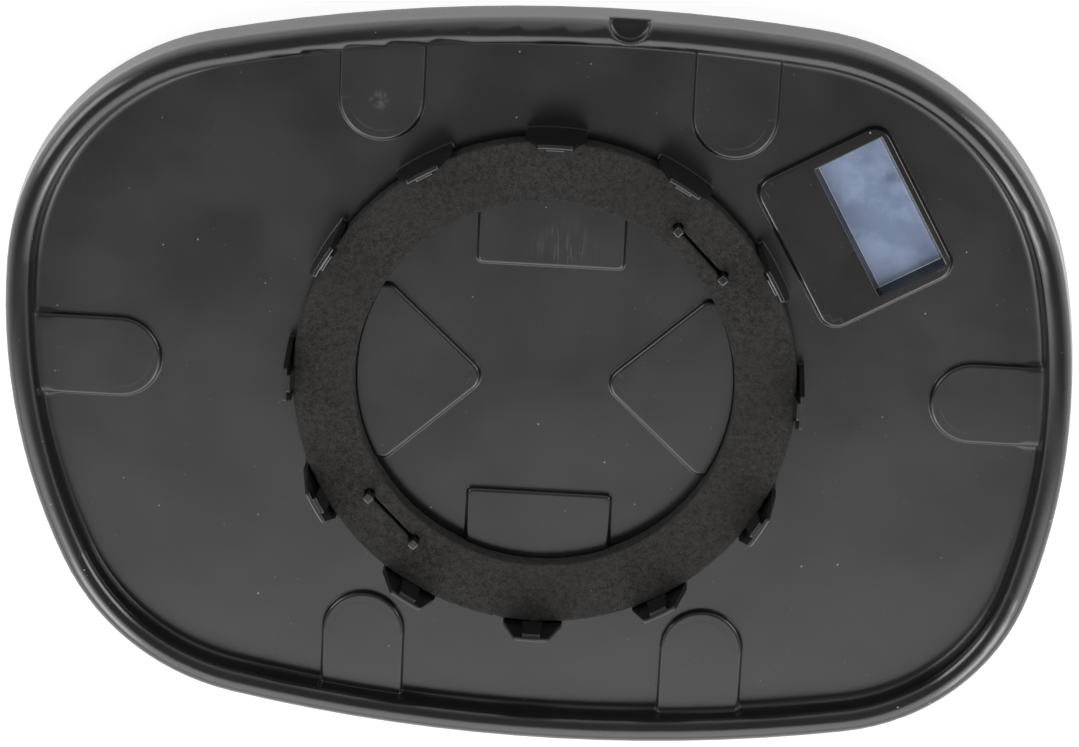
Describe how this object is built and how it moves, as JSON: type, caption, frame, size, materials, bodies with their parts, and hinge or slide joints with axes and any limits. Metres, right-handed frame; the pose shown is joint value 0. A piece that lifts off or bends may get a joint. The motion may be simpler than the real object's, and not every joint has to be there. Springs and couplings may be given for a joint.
{
  "type": "car door mirror glass",
  "caption": "Door mirror glass bonded to a black moulded backing plate that has a circle of snap clips and a foam ring on its back.",
  "frame": {"origin": "middle of the outline, on the front face of the glass", "axes": "+Z from the glass through the part to its back, +X to the right and +Y up as seen from the back"},
  "size_m": [0.1918, 0.1364, 0.0154],
  "materials": {
    "mirror_glass": "polished, with a blue-grey coat on its back",
    "adhesive": "matte film",
    "black_plastic": "gloss as moulded",
    "foam": "open-cell foam, matte"
  },
  "bodies": {
    "root": {"mirror_glass": "mirror_glass", "adhesive_sheet": "adhesive", "backing_plate": "black_plastic", "foam_ring": "foam"}
  },
  "joints": []
}
